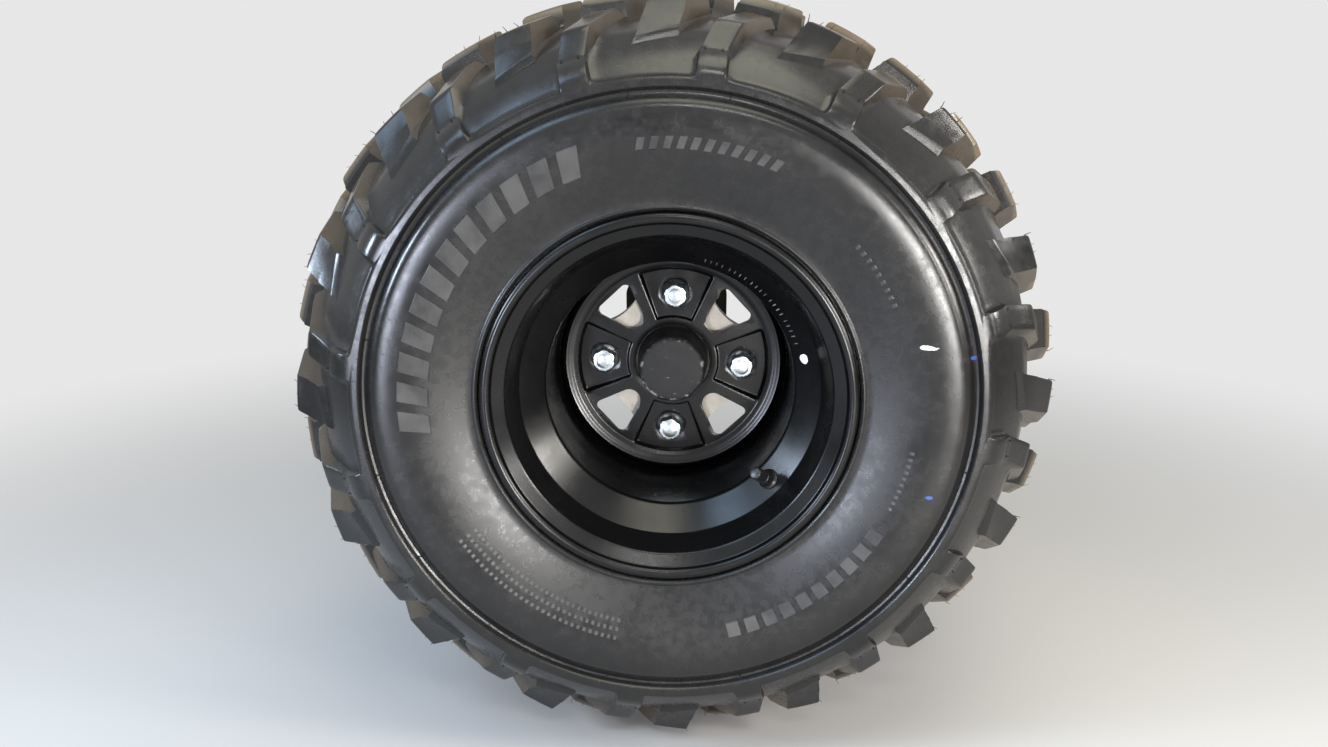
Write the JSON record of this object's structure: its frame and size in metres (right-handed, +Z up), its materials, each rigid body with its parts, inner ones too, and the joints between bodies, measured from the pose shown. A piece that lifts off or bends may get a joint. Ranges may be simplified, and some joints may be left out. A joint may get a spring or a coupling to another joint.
{
  "type": "quad bike rear wheel",
  "caption": "Off-road wheel with a lugged balloon tyre on a pressed steel rim, on a hub and stub axle that turn in a bolt-on bearing housing.",
  "frame": {"origin": "centre of the bearing housing's mounting face, on the wheel's axis", "axes": "+Y along the axis towards the machine, so the wheel's outer side faces -Y; +X forward; +Z up"},
  "size_m": [0.5878, 0.3105, 0.5878],
  "materials": {
    "tyre_rubber": "dressed rubber, semi-gloss",
    "rim_black": "semi-gloss black paint",
    "hub_casting": "machined casting",
    "cap_plastic": "matte, slightly scuffed",
    "zinc": "bright zinc plating",
    "valve_rubber": "matte rubber",
    "axle_steel": "turned steel",
    "bearing_steel": "ground steel",
    "housing_casting": "black coated casting"
  },
  "bodies": {
    "carrier": {"bearing_housing": "housing_casting", "wheel_bearing": "bearing_steel"},
    "wheel": {"tyre": "tyre_rubber", "rim_barrel": "rim_black", "wheel_disc": "rim_black", "hub": "hub_casting", "centre_cap": "cap_plastic", "lug_nut_1": "zinc", "lug_nut_2": "zinc", "lug_nut_3": "zinc", "lug_nut_4": "zinc", "valve": "valve_rubber", "stub_axle": "axle_steel"}
  },
  "joints": [
    {"name": "wheel_spin", "type": "hinge", "parent": "carrier", "child": "wheel", "pos_m": [0, 0, 0], "axis": [0, 1, 0], "continuous": true}
  ]
}
